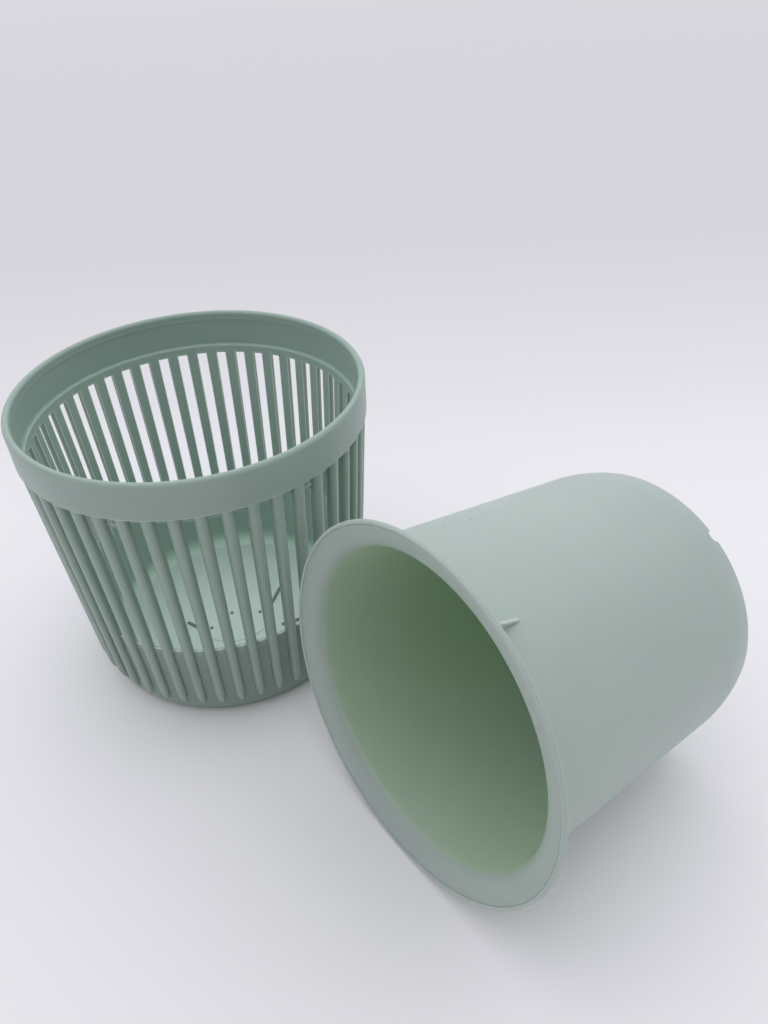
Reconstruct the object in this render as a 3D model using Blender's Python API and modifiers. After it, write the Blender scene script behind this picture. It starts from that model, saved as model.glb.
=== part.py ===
"""Self-watering hanging planter in two moulded pieces, lying apart as for filling.

The outer pot is an open cage of ribs between a smooth rim band and a closed bowl, which is
the water reservoir. The inner pot holds the soil: its rim lip hangs on the seat inside the
band, and its foot then stands just clear of the reservoir floor. Here it lies on its side
next to the outer pot, resting on its rim and on the corner of its base.

Origin: centre of the outer pot's foot, +Z up. The inner pot's axis lies along +X.
"""

import math

import bmesh
import bpy
from mathutils import Matrix, Vector

MM = 0.001

# Outer pot: rim band
RIM_RADIUS = 80.0 * MM
OUTER_HEIGHT = 147.0 * MM
BAND_THICKNESS = 3.0 * MM
BAND_DRAFT = 0.2 * MM
BAND_EDGE_ROUND = 0.5 * MM
LIP_BEAD_HEIGHT = 4.6 * MM
LIP_BEAD_STEP = 0.3 * MM

# Outer pot: seat inside the band, on which the inner pot's lip rests
SEAT_DEPTH = 17.6 * MM
SEAT_DROP = 0.2 * MM
SEAT_ROUND = 1.1 * MM
COVE_HEIGHT = 3.1 * MM
COVE_REACH = 2.0 * MM

# Outer pot: cage and bowl
CREST_INSET = 0.65 * MM
DRAFT = math.radians(4.04)
RIB_COUNT = 46
RIB_RELIEF = 2.6 * MM
WALL = 1.6 * MM
SLOT_WIDTH = 4.8 * MM
SLOT_SLANT = 1.0
SLOT_REACH = 0.1 * MM
SILL_HEIGHT = 48.0 * MM
CORNER_HEIGHT = 11.0 * MM
CORNER_REACH = 6.5 * MM
RIB_END_GAP = 0.5 * MM
RIB_FADE_LENGTH = 8.0 * MM
RIB_FADE_STEPS = 3
RIB_SINK = 0.3 * MM
RIB_EMBED = 0.8 * MM
RIB_OVERLAP = 0.1 * MM
RIB_TOP_SLANT = 0.5
RIB_END_SHAPE = 0.8
FRONT_ANGLE = math.radians(-111.5)

# Outer pot: hanging eyelets and the filled slots beside them, counted from the front slot
EYELET_INDEX = 4
EYELET_HEIGHT = 2.0 * MM
EYELET_WEB = 1.8 * MM
FILLED_INDEX = 5
FILLED_LENGTH = 13.5 * MM

# Outer pot: reservoir floor
FLOOR = 1.6 * MM
DISC_RADIUS = 20.0 * MM
DISC_RISE = 0.5 * MM
PAD_DISTANCE = 5.0 * MM
PAD_LENGTH = 8.0 * MM
PAD_WIDTH = 1.8 * MM
PAD_RISE = 0.9 * MM
PAD_ANGLES = (-120, -60, 60, 120)

# Inner pot
LIP_CLEARANCE = 1.1 * MM
FOOT_CLEARANCE = 0.5 * MM
LIP_HEIGHT = 2.0 * MM
LIP_WIDTH = 4.2 * MM
LIP_ROUND = 0.9 * MM
LIP_STEP = 0.35 * MM
LIP_CHAMFER = 1.5 * MM
LIP_ROOT = 1.4 * MM
NECK_INSET = 9.9 * MM
FLARE_DEPTH = 4.0 * MM
FLARE_BLEND = 1.0 * MM
POT_DRAFT = math.radians(2.4)
POT_WALL = 1.6 * MM
BASE_CORNER_HEIGHT = 16.2 * MM
FOOT_INSET = 2.85 * MM
FOOT_WIDTH = 2.6 * MM
FOOT_ROUND = 0.8 * MM
FOOT_RECESS = 3.6 * MM
FOOT_DRAFT = 0.3 * MM
INNER_CORNER = 9.0 * MM
FIN_COUNT = 4
FIN_PHASE = math.radians(26.0)
FIN_LENGTH = 15.0 * MM
FIN_THICKNESS = 1.2 * MM
FIN_EMBED = 0.6 * MM
FIN_TIP = 0.5 * MM
NOTCH_PHASE = math.radians(30.0)
NOTCH_RADIUS = 2.2 * MM
NOTCH_DEPTH = 2.6 * MM
DRAIN_COUNT = 8
DRAIN_RADIUS = 3.0 * MM
DRAIN_RING = 30.0 * MM
WICK_RADIUS = 6.0 * MM

# Inner pot: where it lies, by the centre of its mouth
MOUTH_X = -5.1 * MM
POTS_APART = 6.65 * MM

# Fineness of the turned bodies and of their rounded corners
OUTER_STEPS = 2 * RIB_COUNT
POT_STEPS = 48
ARC_STEPS = 4
RIB_STEPS = 5
ROD_STEPS = 16
CURVE_HANDLE = 0.55
OVERSHOOT = 3.0 * MM

BAND_INNER = RIM_RADIUS - BAND_THICKNESS
SEAT_LEVEL = OUTER_HEIGHT - SEAT_DEPTH
BAND_BOTTOM = SEAT_LEVEL + SEAT_DROP
SLOT_TOP = BAND_BOTTOM - COVE_HEIGHT
CREST_RADIUS = RIM_RADIUS - BAND_DRAFT - CREST_INSET
WALL_RADIUS = CREST_RADIUS - RIB_RELIEF - BAND_BOTTOM * math.tan(DRAFT)
FLAT_RADIUS = WALL_RADIUS - CORNER_REACH
RIB_END_HEIGHT = CORNER_HEIGHT + RIB_END_GAP
PAD_RADIUS = DISC_RADIUS + PAD_DISTANCE
LIP_RADIUS = BAND_INNER - LIP_CLEARANCE
LIP_INNER = LIP_RADIUS - LIP_WIDTH
NECK_RADIUS = LIP_RADIUS - NECK_INSET
POT_LENGTH = SEAT_LEVEL + LIP_HEIGHT - FLOOR - FOOT_CLEARANCE
MOUTH_Y = -(RIM_RADIUS + POTS_APART + LIP_RADIUS)


def clear_scene():
    for old in list(bpy.data.objects):
        bpy.data.objects.remove(old, do_unlink=True)


def collection(name):
    made = bpy.data.collections.new(name)
    bpy.context.scene.collection.children.link(made)
    return made


def plastic(name, colour):
    made = bpy.data.materials.new(name)
    made.use_nodes = True
    shader = made.node_tree.nodes["Principled BSDF"]
    shader.inputs["Base Color"].default_value = (*colour, 1.0)
    shader.inputs["Roughness"].default_value = 0.5
    shader.inputs["Metallic"].default_value = 0.0
    return made


def outer_wall(z):
    """Radius of the cage's wall, between the ribs, at a height."""
    return WALL_RADIUS + z * math.tan(DRAFT)


def inner_wall(z):
    """Radius of the smooth inside of the cage and bowl at a height."""
    return outer_wall(z) - WALL / math.cos(DRAFT)


def rounded(start, corner, end, steps):
    """Points of a smooth curve that leaves start towards corner and arrives at end from it."""
    near = Vector(start).lerp(Vector(corner), CURVE_HANDLE)
    far = Vector(end).lerp(Vector(corner), CURVE_HANDLE)
    points = []
    for i in range(steps + 1):
        t = i / steps
        s = 1.0 - t
        point = (s**3) * Vector(start) + (3 * s * s * t) * near
        points.append(tuple(point + (3 * s * t * t) * far + (t**3) * Vector(end)))
    return points


def arc(centre, radius, first, last, steps):
    """Points on a circle between two angles in degrees."""
    points = []
    for i in range(steps + 1):
        angle = math.radians(first + (last - first) * i / steps)
        out = radius * math.cos(angle)
        points.append((centre[0] + out, centre[1] + radius * math.sin(angle)))
    return points


def bowl_corner(steps):
    """Outside of the bowl's rounded corner, from the wall down to the foot."""
    start = (outer_wall(CORNER_HEIGHT), CORNER_HEIGHT)
    return rounded(start, (WALL_RADIUS, 0.0), (FLAT_RADIUS, 0.0), steps)


def outer_profile():
    """Half section of the outer pot: inside from the axis up, over the lip, outside down."""
    inside = [
        (0.0, FLOOR + DISC_RISE),
        (DISC_RADIUS, FLOOR + DISC_RISE),
        (DISC_RADIUS + DISC_RISE, FLOOR),
    ]
    inside += rounded(
        (FLAT_RADIUS, FLOOR),
        (inner_wall(FLOOR), FLOOR),
        (inner_wall(CORNER_HEIGHT), CORNER_HEIGHT),
        ARC_STEPS - 1,
    )
    seat_edge = inner_wall(SEAT_LEVEL - SEAT_ROUND)
    seat_centre = (seat_edge + SEAT_ROUND, SEAT_LEVEL - SEAT_ROUND)
    inside += arc(seat_centre, SEAT_ROUND, 180, 90, ARC_STEPS - 2)
    bead_level = OUTER_HEIGHT - LIP_BEAD_HEIGHT
    inside += [
        (BAND_INNER, SEAT_LEVEL),
        (BAND_INNER, bead_level),
        (BAND_INNER - LIP_BEAD_STEP, bead_level + LIP_BEAD_STEP),
    ]
    lip_round = (BAND_THICKNESS + LIP_BEAD_STEP) / 2
    lip_centre = (RIM_RADIUS - lip_round, OUTER_HEIGHT - lip_round)
    lip = arc(lip_centre, lip_round, 180, 0, ARC_STEPS)
    band_foot = RIM_RADIUS - BAND_DRAFT
    edge_centre = (band_foot - BAND_EDGE_ROUND, BAND_BOTTOM + BAND_EDGE_ROUND)
    outside = arc(edge_centre, BAND_EDGE_ROUND, 0, -90, ARC_STEPS - 2)
    cove_start = outer_wall(SLOT_TOP)
    outside += [(cove_start + COVE_REACH, BAND_BOTTOM), (cove_start, SLOT_TOP)]
    outside += bowl_corner(ARC_STEPS - 1)
    return inside + lip + outside + [(0.0, 0.0)]


def turned(name, profile, steps, group, material):
    """Solid of revolution about Z from a half section whose ends lie on the axis."""
    mesh = bpy.data.meshes.new(name)
    points = [(r, 0.0, z) for r, z in profile]
    mesh.from_pydata(points, [(i, i + 1) for i in range(len(points) - 1)], [])
    piece = bpy.data.objects.new(name, mesh)
    group.objects.link(piece)
    mesh.materials.append(material)
    screw = piece.modifiers.new("turn", "SCREW")
    screw.angle = math.tau
    screw.steps = steps
    screw.render_steps = steps
    screw.use_merge_vertices = True
    screw.merge_threshold = 0.00001
    screw.use_smooth_shade = True
    return piece


def rib_section(z, relief, sink, slant):
    """Closed outline across a rib at a height: a round bar rooted in the wall and sunk in it."""
    pitch = math.tau * outer_wall(z) / RIB_COUNT
    half = (pitch - SLOT_WIDTH) / 2 + RIB_OVERLAP
    outline = [(half, -RIB_EMBED)]
    for i in range(RIB_STEPS + 1):
        angle = math.pi * i / RIB_STEPS
        outline.append((half * math.cos(angle), relief * math.sin(angle)))
    outline.append((-half, -RIB_EMBED))
    section = []
    for across, out in outline:
        spot = Vector((outer_wall(z), z)) + (out - sink) * Vector((math.cos(DRAFT), -math.sin(DRAFT)))
        rise = (out - RIB_EMBED) * slant
        section.append(Vector((spot.x, across, spot.y + rise)))
    return section


def rib_sections():
    """Sections of a rib: its top slants up into the band, its end fades into the bowl."""
    sections = [rib_section(BAND_BOTTOM, RIB_RELIEF, 0.0, RIB_TOP_SLANT)]
    for i in range(RIB_FADE_STEPS + 1):
        fade = 1.0 - i / RIB_FADE_STEPS
        z = RIB_END_HEIGHT + fade * RIB_FADE_LENGTH
        relief = RIB_RELIEF * math.sin(fade * math.pi / 2) ** RIB_END_SHAPE
        sections.append(rib_section(z, relief, RIB_SINK * (1.0 - fade), 0.0))
    return sections


def rib_mesh():
    """One rib as a loft between its sections, at angle zero."""
    build = bmesh.new()
    rings = [[build.verts.new(p) for p in section] for section in rib_sections()]
    count = len(rings[0])
    for upper, lower in zip(rings, rings[1:]):
        for i in range(count):
            j = (i + 1) % count
            build.faces.new((upper[i], upper[j], lower[j], lower[i]))
    build.faces.new(rings[0])
    build.faces.new(rings[-1])
    bmesh.ops.recalc_face_normals(build, faces=build.faces)
    mesh = bpy.data.meshes.new("rib")
    build.to_mesh(mesh)
    build.free()
    return mesh


def plate_mesh(name, outline, thickness):
    """Plate in the radial plane: outline as (radius, height), its thickness along Y."""
    curve = bpy.data.curves.new(name, "CURVE")
    curve.dimensions = "2D"
    curve.fill_mode = "BOTH"
    curve.extrude = thickness / 2
    line = curve.splines.new("POLY")
    line.points.add(len(outline) - 1)
    for place, (x, y) in zip(line.points, outline):
        place.co = (x, y, 0.0, 1.0)
    line.use_cyclic_u = True
    holder = bpy.data.objects.new(name, curve)
    bpy.context.scene.collection.objects.link(holder)
    graph = bpy.context.evaluated_depsgraph_get()
    mesh = bpy.data.meshes.new_from_object(holder.evaluated_get(graph))
    bpy.data.objects.remove(holder)
    build = bmesh.new()
    build.from_mesh(mesh)
    bmesh.ops.remove_doubles(build, verts=build.verts, dist=0.00001)
    bmesh.ops.rotate(build, verts=build.verts, matrix=Matrix.Rotation(math.pi / 2, 3, "X"))
    bmesh.ops.recalc_face_normals(build, faces=build.faces)
    build.to_mesh(mesh)
    build.free()
    return mesh


def gathered(name, placed, group):
    """One cutter or addition object from meshes, each with its own placing."""
    build = bmesh.new()
    for mesh, place in placed:
        piece = bmesh.new()
        piece.from_mesh(mesh)
        piece.transform(place)
        copy = bpy.data.meshes.new("copy")
        piece.to_mesh(copy)
        piece.free()
        build.from_mesh(copy)
        bpy.data.meshes.remove(copy)
    mesh = bpy.data.meshes.new(name)
    build.to_mesh(mesh)
    build.free()
    made = bpy.data.objects.new(name, mesh)
    made.hide_render = True
    made.display_type = "WIRE"
    group.objects.link(made)
    return made


def boolean(piece, other, operation):
    cut = piece.modifiers.new(other.name, "BOOLEAN")
    cut.operation = operation
    cut.object = other
    cut.solver = "EXACT"


def about_z(angle):
    return Matrix.Rotation(angle, 4, "Z")


def slot_angle(number):
    return FRONT_ANGLE + number * math.tau / RIB_COUNT


def slot_ceiling(height):
    """Upper edge of a slot's cutter, from outside in: level, then slanting down in the wall."""
    knee = outer_wall(height) + SLOT_REACH
    inner = inner_wall(SILL_HEIGHT) - OVERSHOOT
    drop = (knee - inner) * SLOT_SLANT
    return [(RIM_RADIUS, height), (knee, height), (inner, height - drop)]


def slot_outline(height):
    """Radial outline of a slot's cutter that ends at a height, above the bowl's sill."""
    inner = inner_wall(SILL_HEIGHT) - OVERSHOOT
    return [(inner, SILL_HEIGHT), (RIM_RADIUS, SILL_HEIGHT)] + slot_ceiling(height)


def slot_cutters(group):
    """Slots between the ribs, from the bowl's sill up to the cove under the band."""
    top = SLOT_TOP - SLOT_REACH
    eyelet_floor = top - EYELET_HEIGHT
    full = plate_mesh("slot", slot_outline(top), SLOT_WIDTH)
    short = plate_mesh("short_slot", slot_outline(top - FILLED_LENGTH), SLOT_WIDTH)
    main = plate_mesh("eyelet_slot", slot_outline(eyelet_floor - EYELET_WEB), SLOT_WIDTH)
    hole_outline = slot_ceiling(top) + slot_ceiling(eyelet_floor)[::-1]
    hole = plate_mesh("eyelet", hole_outline, SLOT_WIDTH)
    placed = []
    for number in range(RIB_COUNT):
        place = about_z(slot_angle(number))
        offset = min(number, RIB_COUNT - number)
        if offset == EYELET_INDEX:
            placed += [(main, place), (hole, place)]
        elif offset == FILLED_INDEX:
            placed.append((short, place))
        else:
            placed.append((full, place))
    return gathered("slots", placed, group)


def rib_bars(group):
    """All ribs, each midway between two slots."""
    mesh = rib_mesh()
    placed = [(mesh, about_z(slot_angle(number + 0.5))) for number in range(RIB_COUNT)]
    return gathered("ribs", placed, group)


def floor_pads(group):
    """Short raised bars on the reservoir floor, around the raised disc."""
    build = bmesh.new()
    bmesh.ops.create_cube(build, size=1.0)
    height = FLOOR / 2 + PAD_RISE
    middle = FLOOR / 2 + height / 2
    bmesh.ops.scale(build, verts=build.verts, vec=(PAD_WIDTH, PAD_LENGTH, height))
    bmesh.ops.translate(build, verts=build.verts, vec=(PAD_RADIUS, 0.0, middle))
    mesh = bpy.data.meshes.new("pad")
    build.to_mesh(mesh)
    build.free()
    placed = []
    for angle in PAD_ANGLES:
        placed.append((mesh, about_z(FRONT_ANGLE + math.radians(angle))))
    return gathered("pads", placed, group)


def outer_pot(group, tools):
    """Band, cage and bowl in one moulding."""
    sage = plastic("sage_outer", (0.35, 0.46, 0.42))
    pot = turned("outer_pot", outer_profile(), OUTER_STEPS, group, sage)
    pot.rotation_euler.z = FRONT_ANGLE
    boolean(pot, rib_bars(tools), "UNION")
    boolean(pot, floor_pads(tools), "UNION")
    boolean(pot, slot_cutters(tools), "DIFFERENCE")
    return pot


def pot_wall(s):
    """Outside radius of the inner pot's wall at a distance from its rim plane."""
    return NECK_RADIUS - (s - FLARE_DEPTH) * math.tan(POT_DRAFT)


def foot_radius():
    """Outside radius of the ring on which the inner pot stands."""
    return pot_wall(POT_LENGTH) - FOOT_INSET


def base_corner(steps):
    """Outside of the inner pot's base corner, from the wall to the edge of the foot."""
    start_s = POT_LENGTH - BASE_CORNER_HEIGHT
    corner_s = POT_LENGTH - BASE_CORNER_HEIGHT / 2
    start = (pot_wall(start_s), start_s)
    end = (foot_radius() + FOOT_ROUND / 2, POT_LENGTH - FOOT_ROUND)
    return rounded(start, (pot_wall(corner_s), corner_s), end, steps)


def pot_inside():
    """Inside of the inner pot, from the axis of its floor out and up to the lip."""
    floor_in = POT_LENGTH - FOOT_RECESS - POT_WALL
    corner_s = floor_in - INNER_CORNER
    wall_in = POT_WALL / math.cos(POT_DRAFT)
    points = [(0.0, floor_in)]
    points += rounded(
        (pot_wall(floor_in) - wall_in - INNER_CORNER, floor_in),
        (pot_wall(floor_in) - wall_in, floor_in),
        (pot_wall(corner_s) - wall_in, corner_s),
        ARC_STEPS,
    )
    flare_s = FLARE_DEPTH + FLARE_BLEND
    throat_s = 4 * LIP_STEP
    points += rounded(
        (pot_wall(flare_s) - wall_in, flare_s),
        (pot_wall(throat_s) - wall_in, throat_s),
        (LIP_INNER, 2 * LIP_STEP),
        ARC_STEPS + 1,
    )
    return points


def pot_lip():
    """Top of the inner pot's lip, outwards over its rounded edge to the underside."""
    under = LIP_ROUND / 2
    points = [(LIP_INNER + LIP_STEP / 2, LIP_STEP), (LIP_INNER + LIP_CHAMFER, 0.0)]
    points += arc((LIP_RADIUS - LIP_ROUND, LIP_ROUND), LIP_ROUND, -90, 0, ARC_STEPS - 1)
    points += arc((LIP_RADIUS - under, LIP_HEIGHT - under), under, 0, 90, ARC_STEPS - 2)
    return points


def pot_outside():
    """Outside of the inner pot, from under its lip along the wall to the foot and the axis."""
    flare_s = FLARE_DEPTH + FLARE_BLEND
    points = rounded(
        (LIP_INNER + LIP_ROOT, LIP_HEIGHT),
        (pot_wall(LIP_HEIGHT), LIP_HEIGHT),
        (pot_wall(flare_s), flare_s),
        ARC_STEPS,
    )
    points += base_corner(ARC_STEPS)
    ring_inner = foot_radius() - FOOT_WIDTH
    points += [
        (foot_radius() - FOOT_ROUND / 2, POT_LENGTH),
        (ring_inner, POT_LENGTH),
        (ring_inner - FOOT_DRAFT, POT_LENGTH - FOOT_RECESS),
        (0.0, POT_LENGTH - FOOT_RECESS),
    ]
    return points


def pot_profile():
    """Half section of the inner pot as (radius, distance from the rim plane)."""
    return pot_inside() + pot_lip() + pot_outside()


def lip_contact():
    """Point of the lip's edge that touches the ground, as (radius, distance from the rim)."""
    return LIP_RADIUS, LIP_HEIGHT - LIP_ROUND / 2


def lean():
    """Angle by which the axis dips when the pot lies on its lip and its base corner."""
    lip_r, lip_s = lip_contact()
    return min(math.atan2(lip_r - r, s - lip_s) for r, s in base_corner(ARC_STEPS))


def fin_mesh():
    """Thin gusset between the lip's underside and the wall, at angle zero."""
    foot_s = LIP_HEIGHT + FIN_LENGTH
    edge = LIP_RADIUS - LIP_WIDTH / 2
    embed_s = LIP_HEIGHT - FIN_EMBED
    flare_s = FLARE_DEPTH + FLARE_BLEND
    outline = rounded(
        (LIP_INNER + LIP_ROOT, embed_s),
        (pot_wall(LIP_HEIGHT) - POT_WALL / 2, embed_s),
        (pot_wall(flare_s) - POT_WALL / 2, flare_s),
        ARC_STEPS,
    )
    outline += [
        (pot_wall(foot_s) - POT_WALL / 2, foot_s),
        (pot_wall(foot_s) + FIN_TIP, foot_s),
        (edge, LIP_HEIGHT + FIN_EMBED),
        (edge, embed_s),
    ]
    return plate_mesh("fin", outline, FIN_THICKNESS)


def rod_mesh(name, radius, length):
    """Cylinder about Z with capped ends."""
    build = bmesh.new()
    bmesh.ops.create_cone(
        build, cap_ends=True, segments=ROD_STEPS, radius1=radius, radius2=radius, depth=length
    )
    mesh = bpy.data.meshes.new(name)
    build.to_mesh(mesh)
    build.free()
    return mesh


def pot_fins(group):
    mesh = fin_mesh()
    turns = [FIN_PHASE + number * math.tau / FIN_COUNT for number in range(FIN_COUNT)]
    placed = [(mesh, about_z(turn)) for turn in turns]
    return gathered("fins", placed, group)


def pot_cutters(group):
    """Drain notches in the foot, drain holes and the wick hole in the floor."""
    notch = rod_mesh("notch", NOTCH_RADIUS, 4 * FOOT_WIDTH)
    drain = rod_mesh("drain", DRAIN_RADIUS, 4 * POT_WALL)
    wick = rod_mesh("wick", WICK_RADIUS, 4 * POT_WALL)
    floor_middle = POT_LENGTH - FOOT_RECESS - POT_WALL / 2
    placed = [(wick, Matrix.Translation((0.0, 0.0, floor_middle)))]
    radial = Matrix.Rotation(math.pi / 2, 4, "Y")
    level = POT_LENGTH - NOTCH_DEPTH + NOTCH_RADIUS
    for number in range(FIN_COUNT):
        place = Matrix.Translation((foot_radius(), 0.0, level))
        turn = about_z(NOTCH_PHASE + number * math.tau / FIN_COUNT)
        placed.append((notch, turn @ place @ radial))
    for number in range(DRAIN_COUNT):
        place = Matrix.Translation((DRAIN_RING, 0.0, floor_middle))
        placed.append((drain, about_z(number * math.tau / DRAIN_COUNT) @ place))
    return gathered("pot_holes", placed, group)


def lie_down(holder, dip):
    """Places the empty that carries the inner pot: its +Z becomes the way from mouth to base."""
    axis = Vector((math.cos(dip), 0.0, -math.sin(dip)))
    side = Vector((0.0, -1.0, 0.0))
    down = axis.cross(side)
    turn = Matrix((side, down, axis)).transposed().to_4x4()
    lip_r, lip_s = lip_contact()
    height = lip_r * math.cos(dip) + lip_s * math.sin(dip)
    holder.matrix_world = Matrix.Translation((MOUTH_X, MOUTH_Y, height)) @ turn


def inner_pot(group, tools):
    """Soil pot with a flared rim, four fins under it and a notched foot."""
    sage = plastic("sage_inner", (0.42, 0.5, 0.5))
    pot = turned("inner_pot", pot_profile(), POT_STEPS, group, sage)
    pot.modifiers["turn"].use_normal_flip = True
    fins = pot_fins(tools)
    holes = pot_cutters(tools)
    boolean(pot, fins, "UNION")
    boolean(pot, holes, "DIFFERENCE")
    holder = bpy.data.objects.new("inner_pot_place", None)
    group.objects.link(holder)
    lie_down(holder, lean())
    for piece in (pot, fins, holes):
        piece.parent = holder
    return pot


def main():
    clear_scene()
    parts = collection("planter")
    tools = collection("cutters")
    outer_pot(parts, tools)
    inner_pot(parts, tools)
    print("inner pot length in mm", round(POT_LENGTH / MM, 2))
    print("lean in degrees", round(math.degrees(lean()), 2))


main()
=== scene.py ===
# %% [markdown]
# A self-watering hanging planter, taken apart as for filling.
# The real object is two injection-moulded pots in one sage green plastic. The outer pot is a
# cage of slender ribs between a smooth rim band and a closed bowl that holds the water. The
# inner pot holds the soil, and here it lies on its side next to the outer one.
# Every size below is written once and the rest follows from it, so one value can be changed
# and both pots still fit each other.

import math

import bmesh
import bpy
from mathutils import Matrix, Vector


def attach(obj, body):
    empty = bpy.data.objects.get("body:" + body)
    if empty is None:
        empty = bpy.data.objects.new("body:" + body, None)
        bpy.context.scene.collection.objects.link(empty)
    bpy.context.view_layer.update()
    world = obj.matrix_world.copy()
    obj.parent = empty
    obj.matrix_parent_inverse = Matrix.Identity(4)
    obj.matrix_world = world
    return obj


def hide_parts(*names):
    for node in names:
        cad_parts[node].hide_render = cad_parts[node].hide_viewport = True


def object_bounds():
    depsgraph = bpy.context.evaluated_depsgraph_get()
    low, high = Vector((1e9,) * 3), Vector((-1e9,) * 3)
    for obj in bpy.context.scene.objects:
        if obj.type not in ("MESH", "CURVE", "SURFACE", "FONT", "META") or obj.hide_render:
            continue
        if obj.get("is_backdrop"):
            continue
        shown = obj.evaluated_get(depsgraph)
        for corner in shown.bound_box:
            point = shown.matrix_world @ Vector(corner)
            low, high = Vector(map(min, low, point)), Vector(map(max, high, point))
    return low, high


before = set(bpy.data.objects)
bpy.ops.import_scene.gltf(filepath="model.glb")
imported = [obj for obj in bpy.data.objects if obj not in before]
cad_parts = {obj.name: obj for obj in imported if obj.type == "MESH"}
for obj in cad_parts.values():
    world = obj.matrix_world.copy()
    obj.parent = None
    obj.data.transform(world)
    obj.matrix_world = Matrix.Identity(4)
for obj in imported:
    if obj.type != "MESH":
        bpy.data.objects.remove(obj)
cad_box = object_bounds()

# %% [markdown]
# The camera comes first, because it decides how fine every surface has to be. It stands at
# arm's length over the front of the pots and looks down at about 37 degrees, a little rolled,
# as a hand-held one does. Its field of view is wide, so the pots narrow towards the ground.
# A camera could be aimed with a constraint, but three turns in a row, for roll, tilt and
# heading, say exactly where it looks.

# %% Camera
MM = 0.001
PHOTO_HEIGHT = 1024
CAMERA_PLACE = Vector((-125.2, -322.4, 322.6)) * MM
CAMERA_HEADING = math.radians(54.5)
CAMERA_TILT = math.radians(37.21)
CAMERA_ROLL = math.radians(-3.0)
FOCAL_PIXELS = 829.8
SENSOR_MM = 36.0


def camera_turn(heading, tilt, roll):
    """Turn of a camera: an unturned one looks straight down, with the picture's top to +Y."""
    level_turn = Matrix.Rotation(heading - math.pi / 2, 4, "Z")
    raised = Matrix.Rotation(math.pi / 2 - tilt, 4, "X")
    return level_turn @ raised @ Matrix.Rotation(roll, 4, "Z")


lens = bpy.data.cameras.new("photo_camera")
lens.sensor_fit = "VERTICAL"
lens.sensor_height = SENSOR_MM
lens.lens = SENSOR_MM * FOCAL_PIXELS / PHOTO_HEIGHT
camera = bpy.data.objects.new("photo_camera", lens)
bpy.context.scene.collection.objects.link(camera)
camera_way = camera_turn(CAMERA_HEADING, CAMERA_TILT, CAMERA_ROLL)
camera.matrix_world = Matrix.Translation(CAMERA_PLACE) @ camera_way
bpy.context.scene.camera = camera
print("lens", round(lens.lens, 1), "mm")

# %% [markdown]
# Both pots are bodies of revolution at heart, so each starts as a half section: a list of
# (radius, height) points. Moulded plastic has no sharp edges, and the light that runs along
# its rounded ones is what makes it look moulded. Two helpers draw the roundings: a part of a
# circle for edges, and a smooth curve between two straight runs for the wider corners. A third
# one divides a straight run.

# %% Curves for the sections
CURVE_HANDLE = 0.55


def rounded(start, corner, end, steps):
    """Points of a smooth curve that leaves start towards corner and arrives at end from it."""
    near = Vector(start).lerp(Vector(corner), CURVE_HANDLE)
    far = Vector(end).lerp(Vector(corner), CURVE_HANDLE)
    points = []
    for i in range(steps + 1):
        t = i / steps
        s = 1.0 - t
        point = (s**3) * Vector(start) + (3 * s * s * t) * near
        points.append(tuple(point + (3 * s * t * t) * far + (t**3) * Vector(end)))
    return points


def steps_between(first, last, count):
    """Even steps from one value to another: the first left out, the last kept."""
    return [first + (last - first) * i / count for i in range(1, count + 1)]


def arc(centre, radius, first, last, steps):
    """Points on a circle between two angles in degrees."""
    points = []
    for i in range(steps + 1):
        angle = math.radians(first + (last - first) * i / steps)
        out = radius * math.cos(angle)
        points.append((centre[0] + out, centre[1] + radius * math.sin(angle)))
    return points


print("curves: a smooth corner, a part of a circle and even steps")

# %% [markdown]
# The outer pot's sizes. The rim band is the widest part, the cage below it narrows by about
# four degrees, and 46 slots leave a rib between each two. The inside is one smooth cone, so
# the ribs stand out only on the outside.

# %% Sizes of the outer pot
RIM_RADIUS = 80.0 * MM
OUTER_HEIGHT = 147.0 * MM
BAND_THICKNESS = 3.0 * MM
BAND_DRAFT = 0.2 * MM
BAND_EDGE_ROUND = 0.5 * MM
LIP_BEAD_HEIGHT = 4.6 * MM
LIP_BEAD_STEP = 0.3 * MM
SEAT_DEPTH = 17.6 * MM
SEAT_DROP = 0.2 * MM
SEAT_ROUND = 1.1 * MM
COVE_HEIGHT = 3.1 * MM
COVE_REACH = 2.0 * MM
CREST_INSET = 0.65 * MM
DRAFT = math.radians(4.04)
RIB_COUNT = 46
RIB_RELIEF = 2.6 * MM
WALL = 1.6 * MM
SLOT_WIDTH = 4.8 * MM
SLOT_REACH = 0.1 * MM
SILL_HEIGHT = 48.0 * MM
CORNER_HEIGHT = 11.0 * MM
CORNER_REACH = 6.5 * MM
RIB_END_HEIGHT = 10.2 * MM
RIB_NOSE = 8.0 * MM
FRONT_ANGLE = math.radians(-111.5)
EYELET_INDEX = 4
EYELET_HEIGHT = 2.0 * MM
EYELET_WEB = 1.8 * MM
FILLED_INDEX = 5
FILLED_LENGTH = 13.5 * MM
FLOOR = 1.6 * MM
DISC_RADIUS = 20.0 * MM
DISC_RISE = 0.5 * MM

BAND_INNER = RIM_RADIUS - BAND_THICKNESS
SEAT_LEVEL = OUTER_HEIGHT - SEAT_DEPTH
BAND_BOTTOM = SEAT_LEVEL + SEAT_DROP
SLOT_TOP = BAND_BOTTOM - COVE_HEIGHT
BEAD_ROUND = (BAND_THICKNESS + LIP_BEAD_STEP) / 2
BEAD_CENTRE = (RIM_RADIUS - BEAD_ROUND, OUTER_HEIGHT - BEAD_ROUND)
CREST_RADIUS = RIM_RADIUS - BAND_DRAFT - CREST_INSET
WALL_RADIUS = CREST_RADIUS - RIB_RELIEF - BAND_BOTTOM * math.tan(DRAFT)
FLAT_RADIUS = WALL_RADIUS - CORNER_REACH


def outer_wall(z):
    """Radius of the cage's wall, between the ribs, at a height."""
    return WALL_RADIUS + z * math.tan(DRAFT)


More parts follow.
